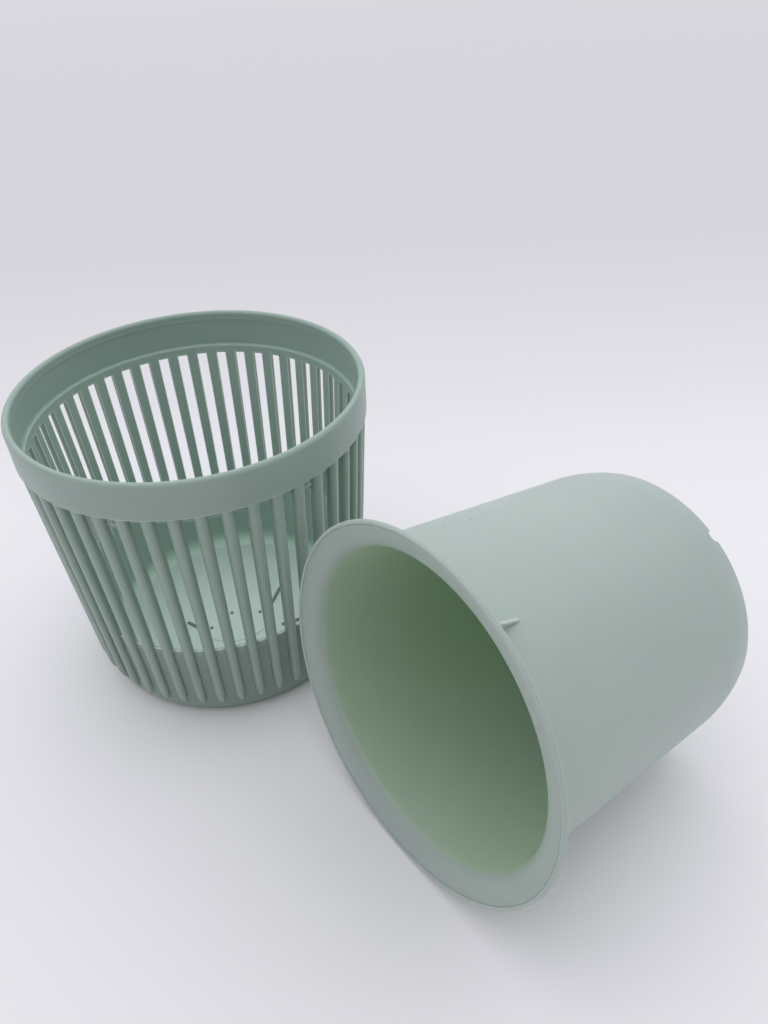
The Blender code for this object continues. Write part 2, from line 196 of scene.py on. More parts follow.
def inner_wall(z):
    """Radius of the smooth inside of the cage and bowl at a height."""
    return outer_wall(z) - WALL / math.cos(DRAFT)


print("foot flat", round(2 * FLAT_RADIUS / MM, 1), "mm across")

# %% [markdown]
# How to make a cage of 46 ribs. Cutting slots with Booleans works, but leaves long thin faces
# that shade badly and can't be rounded. An array of one rib leaves seams. Here the whole pot
# is one even grid instead: columns run around it, rows run over it, and the faces of the slots
# are simply never made. Columns are packed where a rib curves, so the ribs come out round.

# %% Columns around the outer pot
RIB_ARC_STEPS = 6
SLOT_SPANS = 3


def sector_columns():
    """Columns of one slot with half a rib on each side, as (side, turn over the rib, share).

    The turn is 0 at the rib's foot and 90 degrees on its crest. The share says how far a
    column lies across the slot, from -1 to 1. The last crest belongs to the next sector.
    """
    quarter = [math.pi / 2 * i / RIB_ARC_STEPS for i in range(RIB_ARC_STEPS + 1)]
    columns = [(-1, turn, -1.0) for turn in reversed(quarter)]
    columns += [(0, 0.0, 2.0 * i / SLOT_SPANS - 1.0) for i in range(1, SLOT_SPANS)]
    return columns + [(1, turn, 1.0) for turn in quarter[:-1]]


COLUMNS = sector_columns()
SLOT_FIRST = RIB_ARC_STEPS
SLOT_LAST = RIB_ARC_STEPS + SLOT_SPANS
WIDEST_SLOT_SHARE = 0.62
print(len(COLUMNS) * RIB_COUNT, "columns around the outer pot")


def column_angle(column, sector, radius, round_ribs):
    """Angle about the axis of a column at a radius. Round ribs pack columns at their feet."""
    side, turn, share = column
    middle = FRONT_ANGLE + sector * math.tau / RIB_COUNT
    half_pitch = math.pi / RIB_COUNT
    slot_half = min(SLOT_WIDTH / 2 / radius, WIDEST_SLOT_SHARE * half_pitch)
    if side == 0:
        return middle + share * slot_half
    rib_half = half_pitch - slot_half
    across = math.cos(turn) if round_ribs else 1.0 - turn / (math.pi / 2)
    return middle + side * (half_pitch - rib_half * across)


def ring(build, profile, radius, round_ribs):
    """One ring of vertices; profile gives (radius, height) for each column of a sector."""
    row = []
    for sector in range(RIB_COUNT):
        for column, (r, z) in zip(COLUMNS, profile):
            angle = column_angle(column, sector, radius, round_ribs)
            row.append(build.verts.new((r * math.cos(angle), r * math.sin(angle), z)))
    return row


# %% [markdown]
# The rows of the outside, from the lip down to the foot. Each row knows its point on the wall,
# the way that is out from the wall there, how far a rib stands out and how far down its nose
# the row is. Under the band the ribs run into its lower edge, and a small cove leads from the
# slots up to it. Above the bowl's rounded corner each rib ends in a round nose, like a bullet,
# so that the pot stands on a plain smooth base.

# %% Rows of the outside
EDGE_STEPS = 4
CORNER_STEPS = 18
NOSE_STEPS = 12
LOWER_SLOT_SPANS = 5
BOWL_SPANS = 3


def nose_share(z):
    """How far down a rib's nose a height is: 0 where the nose starts, 1 at its tip."""
    return min(1.0, max(0.0, 1.0 - (z - RIB_END_HEIGHT) / RIB_NOSE))


def rib_lift(turn, relief, nose):
    """How far a rib stands out at a column's turn: a round bar that ends like a bullet."""
    return relief * math.sqrt(max(0.0, math.sin(turn) ** 2 - nose**2))


def slot_levels():
    """Heights of the slot rows at the outer wall, from the top of a slot to the sill."""
    top = SLOT_TOP - SLOT_REACH
    marks = [top, top - EYELET_HEIGHT, top - EYELET_HEIGHT - EYELET_WEB, top - FILLED_LENGTH]
    return marks + steps_between(marks[-1], SILL_HEIGHT, LOWER_SLOT_SPANS)


SLOT_LEVELS = slot_levels()


def smooth_rows():
    """Points of the outside above the cage: lip, band face and the band's lower edge."""
    rows = arc(BEAD_CENTRE, BEAD_ROUND, 90, 0, 2 * EDGE_STEPS)
    rows.append((RIM_RADIUS - BAND_DRAFT / 2, (OUTER_HEIGHT + BAND_BOTTOM) / 2))
    edge = (RIM_RADIUS - BAND_DRAFT - BAND_EDGE_ROUND, BAND_BOTTOM + BAND_EDGE_ROUND)
    return rows + arc(edge, BAND_EDGE_ROUND, 0, -90, EDGE_STEPS)


def cage_rows():
    """Rows from under the band to the foot: (radius, height, out direction, relief, nose)."""
    level = Vector((1.0, 0.0))
    top = SLOT_LEVELS[0]
    foot = outer_wall(top)
    cove = rounded((foot + COVE_REACH, BAND_BOTTOM), (foot, BAND_BOTTOM), (foot, top), EDGE_STEPS)
    rows = [(r, z, level, RIB_RELIEF - (r - outer_wall(z)), 0.0) for r, z in cove]
    nose_start = RIB_END_HEIGHT + RIB_NOSE
    straight = SLOT_LEVELS[1:] + steps_between(SILL_HEIGHT, nose_start, BOWL_SPANS)
    rows += [(outer_wall(z), z, level, RIB_RELIEF, 0.0) for z in straight]
    for i in range(1, NOSE_STEPS):
        nose = math.sin(math.pi / 2 * i / NOSE_STEPS)
        z = nose_start - nose * RIB_NOSE
        if z > CORNER_HEIGHT:
            rows.append((outer_wall(z), z, level, RIB_RELIEF, nose))
    start = (outer_wall(CORNER_HEIGHT), CORNER_HEIGHT)
    corner = rounded(start, (WALL_RADIUS, 0.0), (FLAT_RADIUS, 0.0), CORNER_STEPS)
    for i, (r, z) in enumerate(corner):
        before = Vector(corner[max(i - 1, 0)])
        after = Vector(corner[min(i + 1, CORNER_STEPS)])
        along = (after - before).normalized()
        rows.append((r, z, Vector((-along.y, along.x)), RIB_RELIEF, nose_share(z)))
    return rows


CAGE_ROWS = cage_rows()
print(len(smooth_rows()), "rows on the band,", len(CAGE_ROWS), "rows on the cage and bowl")

# %% [markdown]
# The rows of the inside, from the floor up to the lip. In the slots they pair up one to one
# with the rows outside, a little lower at the top, because the real slot's upper end slants
# down through the wall. The seat is the small ledge on which the inner pot's lip hangs.

# %% Rows of the inside
SLOT_SLANT = 1.0


def inside_rows():
    """Inside from the disc on the floor up to the top of the lip, and where the slots start."""
    rows = [
        (DISC_RADIUS, FLOOR + DISC_RISE),
        (DISC_RADIUS + DISC_RISE, FLOOR),
        ((DISC_RADIUS + FLAT_RADIUS) / 2, FLOOR),
    ]
    corner = (inner_wall(FLOOR), FLOOR)
    wall_start = (inner_wall(CORNER_HEIGHT), CORNER_HEIGHT)
    rows += rounded((FLAT_RADIUS, FLOOR), corner, wall_start, CORNER_STEPS // 2)
    middle = (CORNER_HEIGHT + SILL_HEIGHT) / 2
    rows.append((inner_wall(middle), middle))
    first = len(rows)
    for z in reversed(SLOT_LEVELS):
        drop = WALL * SLOT_SLANT * min(1.0, (z - SILL_HEIGHT) / FILLED_LENGTH)
        rows.append((inner_wall(z - drop), z - drop))
    seat = (inner_wall(SEAT_LEVEL - SEAT_ROUND) + SEAT_ROUND, SEAT_LEVEL - SEAT_ROUND)
    rows += arc(seat, SEAT_ROUND, 180, 90, EDGE_STEPS)
    bead = OUTER_HEIGHT - LIP_BEAD_HEIGHT
    rows += [
        (BAND_INNER, SEAT_LEVEL),
        (BAND_INNER, (SEAT_LEVEL + bead) / 2),
        (BAND_INNER, bead),
        (BAND_INNER - LIP_BEAD_STEP, bead + LIP_BEAD_STEP),
    ]
    return rows + arc(BEAD_CENTRE, BEAD_ROUND, 180, 90, 2 * EDGE_STEPS)[:-1], first


INSIDE_ROWS, INSIDE_SLOT_ROW = inside_rows()
print(len(INSIDE_ROWS), "rows inside")

# %% [markdown]
# Now the grid itself. A slot is open over some of its rows: a plain one from top to sill, the
# two eyelets for hanging cords with a thin bridge just below the top, and the two slots next
# to them filled for their upper part, where the band takes the cord's pull.

# %% Which slots are open, row by row
CLOSED_SPANS = {EYELET_INDEX: {1}, FILLED_INDEX: {0, 1, 2}}


def closed_spans(sector):
    """Spans between slot levels, counted from the top, that one slot keeps closed."""
    return CLOSED_SPANS.get(min(sector, RIB_COUNT - sector), set())


def is_open(sector, column, span):
    """Whether the slot is open between two levels, in the cell right of a column."""
    in_slot = SLOT_FIRST <= column < SLOT_LAST
    in_zone = 0 <= span < len(SLOT_LEVELS) - 1
    return in_slot and in_zone and span not in closed_spans(sector)


print("eyelet slots:", [n for n in range(RIB_COUNT) if closed_spans(n) == {1}])

# %% The grid of the outer pot
FOOT_INSIDE = 2.0 * MM


def outside_rings(build):
    """Rings of the outside, from the lip down to the foot."""
    rings = []
    for point in smooth_rows():
        rings.append(ring(build, [point] * len(COLUMNS), outer_wall(BAND_BOTTOM), True))
    for r, z, out, relief, nose in CAGE_ROWS:
        lifts = [rib_lift(turn, max(0.0, relief), nose) for _, turn, _ in COLUMNS]
        profile = [(r + out.x * lift, z + out.y * lift) for lift in lifts]
        rings.append(ring(build, profile, min(r, outer_wall(z)), True))
    last = [(FLAT_RADIUS - FOOT_INSIDE, 0.0)] * len(COLUMNS)
    rings.append(ring(build, last, FLAT_RADIUS, True))
    return rings


def inside_rings(build):
    """Rings of the inside, from the disc on the floor up to the lip."""
    return [ring(build, [(r, z)] * len(COLUMNS), r, False) for r, z in INSIDE_ROWS]


def skin(build, upper, lower, left_out=lambda sector, column: False):
    """Faces between two rings, but for the cells that left_out names."""
    count = len(upper)
    for j in range(count):
        if not left_out(j // len(COLUMNS), j % len(COLUMNS)):
            k = (j + 1) % count
            build.faces.new((upper[j], upper[k], lower[k], lower[j]))


def slot_walls(build, outside, inside):
    """Faces through the wall around every opening; both lists hold the slot levels' rings."""
    for sector in range(RIB_COUNT):
        for column in range(SLOT_FIRST, SLOT_LAST):
            for span in range(len(SLOT_LEVELS) - 1):
                if not is_open(sector, column, span):
                    continue
                j = sector * len(COLUMNS) + column
                edges = {
                    (0, -1): ((span, j), (span, j + 1)),
                    (0, 1): ((span + 1, j), (span + 1, j + 1)),
                    (-1, 0): ((span, j), (span + 1, j)),
                    (1, 0): ((span, j + 1), (span + 1, j + 1)),
                }
                for (across, down), ((a, b), (c, d)) in edges.items():
                    if not is_open(sector, column + across, span + down):
                        near, far = (outside[a][b], outside[c][d]), (inside[c][d], inside[a][b])
                        build.faces.new(near + far)


def outer_pot_grid():
    """The whole outer pot as one closed mesh."""
    build = bmesh.new()
    outside = outside_rings(build)
    inside = inside_rings(build)
    first = len(smooth_rows()) + EDGE_STEPS
    levels = len(SLOT_LEVELS)
    for i, (upper, lower) in enumerate(zip(outside, outside[1:])):
        skin(build, upper, lower, lambda sector, column: is_open(sector, column, i - first))
    for i, (lower, upper) in enumerate(zip(inside, inside[1:])):
        span = levels - 2 - (i - INSIDE_SLOT_ROW)
        skin(build, upper, lower, lambda sector, column: is_open(sector, column, span))
    skin(build, inside[-1], outside[0])
    inside_levels = inside[INSIDE_SLOT_ROW : INSIDE_SLOT_ROW + levels][::-1]
    slot_walls(build, outside[first : first + levels], inside_levels)
    build.faces.new(inside[0])
    build.faces.new(outside[-1])
    bmesh.ops.recalc_face_normals(build, faces=build.faces)
    return build


# %% [markdown]
# Edges and shading. A cut edge on a moulded part still has a small radius, and that radius
# catches a thin line of light along every slot. A Bevel modifier rounds only the edges that
# carry a bevel weight, so the weights are set here on the edges that point outwards. Inward
# corners stay crisp: rounding both where they meet would fold the mesh.

# %% Rounding and shading helpers
SHARP_ANGLE = math.radians(38)
ROUNDED_ANGLE = math.radians(50)
EDGE_ROUND = 0.25 * MM
PLACE_FIELDS = ("out", "along", "corner", "inward")
FINE_STEP = 0.15 * MM
EDGE_HIGHLIGHT_BENDS = (120.0, 600.0)
GROOVE_SHADE_BENDS = (-300.0, -900.0)
INWARD_SHARES = (0.1, 0.5)


def weigh_edges(build):
    """Marks sharp outward edges for the Bevel modifier."""
    layer = build.edges.layers.float.new("bevel_weight_edge")
    marked = 0
    for edge in build.edges:
        if len(edge.link_faces) == 2 and edge.calc_face_angle_signed() > ROUNDED_ANGLE:
            edge[layer] = 1.0
            marked += 1
    return marked


def mesh_object(name, build):
    """Object from a bmesh, in the scene."""
    mesh = bpy.data.meshes.new(name)
    build.to_mesh(mesh)
    build.free()
    made = bpy.data.objects.new(name, mesh)
    bpy.context.scene.collection.objects.link(made)
    return made


def settle_modifiers(piece):
    """Replaces a piece's mesh by the result of its modifiers."""
    bpy.context.view_layer.update()
    graph = bpy.context.evaluated_depsgraph_get()
    mesh = bpy.data.meshes.new_from_object(piece.evaluated_get(graph))
    piece.modifiers.clear()
    piece.data = mesh
    mesh.name = piece.name


def note_places(piece, open_way, corner=None):
    """Keeps for each point what the finish asks about its place in its own upright pot.

    These are its distance from the axis, its place along it, how tight its bend is (positive
    on edges, negative in grooves, or one value given for all) and whether it faces inward.
    Open_way is 1 where the pot opens towards +Z and -1 where it opens the other way.
    """
    fields = {name: piece.data.attributes.new(name, "FLOAT", "POINT") for name in PLACE_FIELDS}
    build = bmesh.new()
    build.from_mesh(piece.data)
    for vertex in build.verts:
        x, y, z = vertex.co
        out = math.hypot(x, y)
        ways = [edge.other_vert(vertex).co - vertex.co for edge in vertex.link_edges]
        bends = [-way.dot(vertex.normal) / max(FINE_STEP, way.length) ** 2 for way in ways]
        bend = sum(bends) / max(1, len(bends))
        outward = (vertex.normal.x * x + vertex.normal.y * y) / max(MM, out)
        inward = open_way * vertex.normal.z - outward
        values = (out, z, bend if corner is None else corner, inward)
        for name, value in zip(PLACE_FIELDS, values):
            fields[name].data[vertex.index].value = value
    build.free()


def shade_moulded(piece):
    """Smooth shading that breaks only at real corners."""
    build = bmesh.new()
    build.from_mesh(piece.data)
    for face in build.faces:
        face.smooth = True
    for edge in build.edges:
        edge.smooth = len(edge.link_faces) == 2 and edge.calc_face_angle() < SHARP_ANGLE
    build.to_mesh(piece.data)
    build.free()


def round_edges(piece, width, segments, method="ANGLE"):
    """Rounds a piece's edges with a Bevel, settled into its mesh, and shades it."""
    bevel = piece.modifiers.new("soft_edges", "BEVEL")
    bevel.width = width
    bevel.segments = segments
    bevel.limit_method = method
    settle_modifiers(piece)
    shade_moulded(piece)


def rod(build, radius, length, place, sides):
    """Capped cylinder, added to a bmesh at a placing."""
    ends = {"radius1": radius, "radius2": radius, "cap_ends": True}
    bmesh.ops.create_cone(build, segments=sides, depth=length, matrix=place, **ends)


print("helpers for moulded parts ready")

# %% Outer pot
grid = outer_pot_grid()
open_edges = sum(1 for edge in grid.edges if len(edge.link_faces) != 2)
marked_edges = weigh_edges(grid)
outer_shell = mesh_object("outer_shell", grid)
round_edges(outer_shell, EDGE_ROUND, 2, "WEIGHT")
print("outer pot:", len(outer_shell.data.polygons), "faces,", marked_edges, "rounded edges,",
      open_edges, "open")

# %% [markdown]
# On the reservoir's floor, around a slightly raised disc, stand a few short raised bars, and on
# the disc three small pins: marks of the mould's ejectors and of its gate. They are moulded with
# the floor, so they sink into it a little and only their rounded tops show. The finish paints
# them dark all over, as painted shade.

# %% Bars and pins on the reservoir floor
BAR_WIDTH = 1.6 * MM
BAR_RISE = 0.9 * MM
BAR_ROUND = 0.4 * MM
PIN_RADIUS = 0.9 * MM
PIN_SIDES = 16
BARS = ((-22.0, 8.2, -70.6, 7.5), (26.0, -0.5, 37.7, 12.8), (21.6, -24.4, -15.7, 11.4))
PINS = ((-15.2, -0.9), (-0.9, 2.4), (11.6, -7.0))


def floor_bars():
    """Bars, given as (x, y, angle in degrees, length), and pins, given as (x, y), in mm."""
    build = bmesh.new()
    height = FLOOR / 2 + BAR_RISE
    for x, y, angle, length in BARS:
        place = Matrix.Translation((x * MM, y * MM, FLOOR / 2 + height / 2))
        turn = Matrix.Rotation(math.radians(angle), 4, "Z")
        size = Matrix.Diagonal((length * MM, BAR_WIDTH, height, 1.0))
        bmesh.ops.create_cube(build, size=1.0, matrix=place @ turn @ size)
    for x, y in PINS:
        place = Matrix.Translation((x * MM, y * MM, (FLOOR + DISC_RISE + height) / 2))
        rod(build, PIN_RADIUS, height, place, PIN_SIDES)
    return build


bars = mesh_object("floor_bars", floor_bars())
round_edges(bars, BAR_ROUND, 3)
print("bars stand", round(BAR_RISE / MM, 1), "mm over the floor")

# %% [markdown]
# The inner pot's sizes follow from the outer pot: its lip has to pass inside the band and hang
# on the seat, and its foot then stays just clear of the floor. So its lip radius and its
# length are worked out, not written.

# %% Sizes of the inner pot
LIP_CLEARANCE = 1.1 * MM
FOOT_CLEARANCE = 0.5 * MM
LIP_HEIGHT = 2.0 * MM
LIP_WIDTH = 4.2 * MM
LIP_ROUND = 0.9 * MM
BEAD_WIDTH = 1.8 * MM
GROOVE_WIDTH = 0.35 * MM
GROOVE_DEPTH = 0.15 * MM
FLARE_DROP = 0.5 * MM
LIP_ROOT = 1.4 * MM
NECK_INSET = 9.9 * MM
FLARE_DEPTH = 4.0 * MM
FLARE_BLEND = 3.0 * MM
POT_DRAFT = math.radians(2.4)
POT_WALL = 1.6 * MM
BASE_CORNER_HEIGHT = 16.2 * MM
FOOT_INSET = 2.85 * MM
FOOT_WIDTH = 2.6 * MM
FOOT_ROUND = 0.8 * MM
FOOT_RECESS = 3.6 * MM
FOOT_DRAFT = 0.3 * MM
INNER_CORNER = 9.0 * MM

LIP_RADIUS = BAND_INNER - LIP_CLEARANCE
LIP_ROOT_RADIUS = LIP_RADIUS - LIP_WIDTH + LIP_ROOT
GROOVE_RADIUS = LIP_RADIUS - BEAD_WIDTH
NECK_RADIUS = LIP_RADIUS - NECK_INSET
POT_LENGTH = SEAT_LEVEL + LIP_HEIGHT - FLOOR - FOOT_CLEARANCE
FLARE_END = FLARE_DEPTH + FLARE_BLEND
BASE_START = POT_LENGTH - BASE_CORNER_HEIGHT
POT_FLOOR = POT_LENGTH - FOOT_RECESS


def pot_wall(s):
    """Outside radius of the inner pot's wall at a distance from its rim plane."""
    return NECK_RADIUS - (s - FLARE_DEPTH) * math.tan(POT_DRAFT)


def on_wall(s, inset=0.0):
    """Point of the section on the wall, or some way in from its outside."""
    return pot_wall(s) - inset, s


FOOT_RADIUS = pot_wall(POT_LENGTH) - FOOT_INSET
print("inner pot", round(2 * LIP_RADIUS / MM, 1), "mm across,", round(POT_LENGTH / MM, 1), "long")

# %% [markdown]
# The inner pot is a plain turned shape, so its half section is drawn and swept around. A Screw
# modifier would do, but sweeping it by hand keeps control of where the columns lie. The
# section starts in the middle of the floor, climbs the inside, rolls over the lip and comes
# down the outside to the foot ring.

# %% Section of the inner pot
POT_CORNER_STEPS = 16
INSIDE_SPANS = 6
OUTSIDE_SPANS = 8


def pot_inside():
    """Inside of the inner pot, from its floor out and up the flare to the lip's groove."""
    floor_in = POT_FLOOR - POT_WALL
    corner_s = floor_in - INNER_CORNER
    wall_in = POT_WALL / math.cos(POT_DRAFT)
    floor_end = pot_wall(floor_in) - wall_in - INNER_CORNER
    points = [(floor_end - FOOT_WIDTH, floor_in)]
    wall_start = on_wall(corner_s, wall_in)
    corner = on_wall(floor_in, wall_in)
    points += rounded((floor_end, floor_in), corner, wall_start, POT_CORNER_STEPS)
    straight = steps_between(corner_s, FLARE_END, INSIDE_SPANS)[:-1]
    points += [on_wall(s, wall_in) for s in straight]
    return points + rounded(
        on_wall(FLARE_END, wall_in),
        on_wall(2 * FLARE_DROP, wall_in),
        (GROOVE_RADIUS - GROOVE_WIDTH, FLARE_DROP),
        POT_CORNER_STEPS,
    )


def pot_lip():
    """The lip: a fine groove, then the bead over its crown to its underside."""
    under = LIP_ROUND / 2
    points = [
        (GROOVE_RADIUS - GROOVE_WIDTH / 2, FLARE_DROP + GROOVE_DEPTH / 2),
        (GROOVE_RADIUS, FLARE_DROP + GROOVE_DEPTH / 2),
    ]
    points += rounded(
        (GROOVE_RADIUS + GROOVE_WIDTH / 2, FLARE_DROP),
        (GROOVE_RADIUS + GROOVE_WIDTH, 0.0),
        (LIP_RADIUS - LIP_ROUND, 0.0),
        EDGE_STEPS,
    )
    points += arc((LIP_RADIUS - LIP_ROUND, LIP_ROUND), LIP_ROUND, -90, 0, 2 * EDGE_STEPS)[1:]
    return points + arc((LIP_RADIUS - under, LIP_HEIGHT - under), under, 0, 90, EDGE_STEPS)


def base_corner(steps):
    """Outside of the base corner, from the wall to the edge of the foot."""
    corner = on_wall(POT_LENGTH - BASE_CORNER_HEIGHT / 2)
    end = (FOOT_RADIUS + FOOT_ROUND / 2, POT_LENGTH - FOOT_ROUND)
    return rounded(on_wall(BASE_START), corner, end, steps)


def pot_outside():
    """Outside, from under the lip along the wall to the foot ring and its recess."""
    root = (LIP_ROOT_RADIUS, LIP_HEIGHT)
    points = rounded(root, on_wall(LIP_HEIGHT), on_wall(FLARE_END), POT_CORNER_STEPS)
    straight = steps_between(FLARE_END, BASE_START, OUTSIDE_SPANS)[:-1]
    points += [on_wall(s) for s in straight] + base_corner(POT_CORNER_STEPS)
    ring_inner = FOOT_RADIUS - FOOT_WIDTH
    foot = (FOOT_RADIUS - FOOT_ROUND / 2, POT_LENGTH - FOOT_ROUND)
    points += arc(foot, FOOT_ROUND, 0, 90, EDGE_STEPS)[1:]
    inner_round = FOOT_ROUND / 2
    inner_edge = (ring_inner + inner_round, POT_LENGTH - inner_round)
    points += arc(inner_edge, inner_round, 90, 180, EDGE_STEPS)
    return points + [(ring_inner - FOOT_DRAFT, POT_FLOOR), (ring_inner - FOOT_WIDTH, POT_FLOOR)]


POT_SECTION = pot_inside() + pot_lip() + pot_outside()
print(len(POT_SECTION), "points in the inner pot's section")

# %% Turning the section
POT_COLUMNS = 240


def turned(section, columns):
    """Closed solid from a section whose two ends are flat discs across the axis."""
    build = bmesh.new()
    rings = []
    for r, s in section:
        row = []
        for i in range(columns):
            angle = math.tau * i / columns
            row.append(build.verts.new((r * math.cos(angle), r * math.sin(angle), s)))
        rings.append(row)
    for first, second in zip(rings, rings[1:]):
        skin(build, first, second)
    build.faces.new(rings[0])
    build.faces.new(rings[-1])
    bmesh.ops.recalc_face_normals(build, faces=build.faces)
    return build


inner_shell = mesh_object("inner_shell", turned(POT_SECTION, POT_COLUMNS))
print("turned:", len(inner_shell.data.polygons), "faces")

# %% [markdown]
# Four half-round notches in the foot ring let water in when the pot stands in its reservoir,
# and the floor has drain holes around a larger hole in the middle. They are cut with one
# Boolean from a few rods: on a flat floor and a narrow ring a Boolean is clean and quick.

# %% Notches and holes
FIN_COUNT = 4
FIN_PHASE = math.radians(26.0)
NOTCH_PHASE = math.radians(30.0)
NOTCH_RADIUS = 2.6 * MM
NOTCH_DEPTH = 3.4 * MM
DRAIN_COUNT = 8
DRAIN_RADIUS = 3.0 * MM
DRAIN_RING = 30.0 * MM
WICK_RADIUS = 6.0 * MM
ROD_STEPS = 48


def pot_cutters():
    """Rods for the notches, the drain holes and the hole in the middle of the floor."""
    build = bmesh.new()
    middle = Matrix.Translation((0.0, 0.0, POT_FLOOR - POT_WALL / 2))
    rod(build, WICK_RADIUS, 4 * POT_WALL, middle, ROD_STEPS)
    for number in range(DRAIN_COUNT):
        turn = Matrix.Rotation(number * math.tau / DRAIN_COUNT, 4, "Z")
        place = turn @ Matrix.Translation((DRAIN_RING, 0.0, POT_FLOOR - POT_WALL / 2))
        rod(build, DRAIN_RADIUS, 4 * POT_WALL, place, ROD_STEPS)
    level = POT_LENGTH - NOTCH_DEPTH + NOTCH_RADIUS
    for number in range(FIN_COUNT):
        turn = Matrix.Rotation(NOTCH_PHASE + number * math.tau / FIN_COUNT, 4, "Z")
        place = turn @ Matrix.Translation((FOOT_RADIUS, 0.0, level))
        place = place @ Matrix.Rotation(math.pi / 2, 4, "Y")
        rod(build, NOTCH_RADIUS, 4 * FOOT_WIDTH, place, ROD_STEPS)
    return build


cutters = mesh_object("pot_cutters", pot_cutters())
cut = inner_shell.modifiers.new("holes", "BOOLEAN")
cut.operation = "DIFFERENCE"
cut.solver = "EXACT"
cut.object = cutters
settle_modifiers(inner_shell)
bpy.data.objects.remove(cutters)
shade_moulded(inner_shell)
print("with its holes:", len(inner_shell.data.polygons), "faces")

# %% [markdown]
# Under the lip four thin fins stiffen it. Each is a small three-cornered plate that runs out
# from the wall to the lip's underside. Its inner edge follows the flare half-way through the
# wall, so that nothing of it shows inside the pot. A Bevel rounds its edges.

# %% Fins
FIN_LENGTH = 15.0 * MM
FIN_THICKNESS = 1.2 * MM
FIN_EMBED = 0.6 * MM
FIN_TIP = 0.5 * MM
FIN_ROUND = 0.3 * MM


def fins():
    """Four plates in radial planes."""
    build = bmesh.new()
    foot_s = LIP_HEIGHT + FIN_LENGTH
    edge = LIP_RADIUS - LIP_WIDTH / 2
    embed_s = LIP_HEIGHT - FIN_EMBED
    outline = rounded(
        (LIP_ROOT_RADIUS, embed_s),
        (pot_wall(LIP_HEIGHT) - POT_WALL / 2, embed_s),
        on_wall(FLARE_END, POT_WALL / 2),
        EDGE_STEPS,
    )
    outline += [
        on_wall(foot_s, POT_WALL / 2),
        on_wall(foot_s, -FIN_TIP),
        (edge, LIP_HEIGHT + FIN_EMBED),
        (edge, embed_s),
    ]
    for number in range(FIN_COUNT):
        turn = Matrix.Rotation(FIN_PHASE + number * math.tau / FIN_COUNT, 3, "Z")
        sides = []
        for across in (-FIN_THICKNESS / 2, FIN_THICKNESS / 2):
            sides.append([build.verts.new(turn @ Vector((r, across, s))) for r, s in outline])
        build.faces.new(sides[0])
        build.faces.new(sides[1])
        skin(build, sides[0], sides[1])
    bmesh.ops.recalc_face_normals(build, faces=build.faces)
    return build


pot_fins = mesh_object("pot_fins", fins())
round_edges(pot_fins, FIN_ROUND, 3)
print("fins:", len(pot_fins.data.polygons), "faces")

# %% [markdown]
# The inner pot lies on the edge of its lip and on the corner of its base, so its axis dips.
# The angle is found from the two points that touch the ground, and the same values place it
# as the fixed frame has it. Before that, each point's place in its own pot is kept, because
# the finish differs a little inside and outside, where it paints a glow, and the lying pot's
# axis is no longer upright.

# %% Laying the inner pot down
MOUTH_X = -5.1 * MM
POTS_APART = 6.65 * MM
CONTACT_STEPS = 4


def lying_place():
    """Placing that turns the section's axis from upright to lying, mouth towards -X."""
    lip_r, lip_s = LIP_RADIUS, LIP_HEIGHT - LIP_ROUND / 2
    dip = min(math.atan2(lip_r - r, s - lip_s) for r, s in base_corner(CONTACT_STEPS))
    axis = Vector((math.cos(dip), 0.0, -math.sin(dip)))
    side = Vector((0.0, -1.0, 0.0))
    turn = Matrix((side, axis.cross(side), axis)).transposed().to_4x4()
    height = lip_r * math.cos(dip) + lip_s * math.sin(dip)
    mouth_y = -(RIM_RADIUS + POTS_APART + LIP_RADIUS)
    return Matrix.Translation((MOUTH_X, mouth_y, height)) @ turn


lying = lying_place()
note_places(outer_shell, 1)
# The bars and pins take the deepest groove bend, so they get painted shade all over.
note_places(bars, 1, GROOVE_SHADE_BENDS[1])
note_places(inner_shell, -1)
note_places(pot_fins, -1)
for piece in (inner_shell, pot_fins):
    piece.data.transform(lying)
ground = min(v.co.z for v in inner_shell.data.vertices)
print("lowest point of the lying pot", round(ground / MM, 2), "mm over the ground")

# %% [markdown]
# The plastic. Sage green polypropylene is almost matte: light goes a little way in, scatters
# and comes out softened, which is why the lying pot glows yellow-green inside, where light
# comes through its thin wall. A plain diffuse colour would look like paint. So the shader has
# some subsurface scattering, a satin gloss, and three kinds of detail that both pots share as
# node groups: the slow drift of tone in a moulding, the fine grain of the mould's surface,
# and the small specks and rubs that handling leaves. The glow inside is also painted into the
# inside tones.

# %% Small helpers for node groups
SOCKET_KINDS = {1: "NodeSocketFloat", 3: "NodeSocketVector", 4: "NodeSocketColor"}
ORIGIN = (0.0, 0.0, 0.0)
MIDDLE_GREY = (0.5, 0.5, 0.5, 1.0)


def new_group(name, inputs, outputs):
    """Empty shader group; the length of an input's default and of an output tells its kind."""
    group = bpy.data.node_groups.new(name, "ShaderNodeTree")
    for socket, default in inputs.items():
        kind = SOCKET_KINDS[len(default) if isinstance(default, tuple) else 1]
        made = group.interface.new_socket(socket, in_out="INPUT", socket_type=kind)
        made.default_value = default
    for socket, length in outputs.items():
        kind = SOCKET_KINDS[length]
        group.interface.new_socket(socket, in_out="OUTPUT", socket_type=kind)
    ends = group.nodes.new("NodeGroupInput"), group.nodes.new("NodeGroupOutput")
    return group, ends[0].outputs, ends[1].inputs


def feed_socket(tree, socket, value):
    """Links an output to an input, or sets the input to a plain value or colour."""
    if isinstance(value, bpy.types.NodeSocket):
        tree.links.new(value, socket)
    elif socket.type == "RGBA":
        socket.default_value = (*value, 1.0)
    else:
        socket.default_value = value


def feed(tree, node, **values):
    """Feeds a node's inputs by their names, with _ for a space; returns the node."""
    for name, value in values.items():
        feed_socket(tree, node.inputs[name.replace("_", " ")], value)
    return node


def math_node(tree, operation, first, second, kind="ShaderNodeMath"):
    """Math node fed by a socket or a plain value on each side; returns its number."""
    node = tree.nodes.new(kind)
    node.operation = operation
    for socket, value in zip(node.inputs, (first, second)):
        feed_socket(tree, socket, value)
    return node.outputs["Value"]


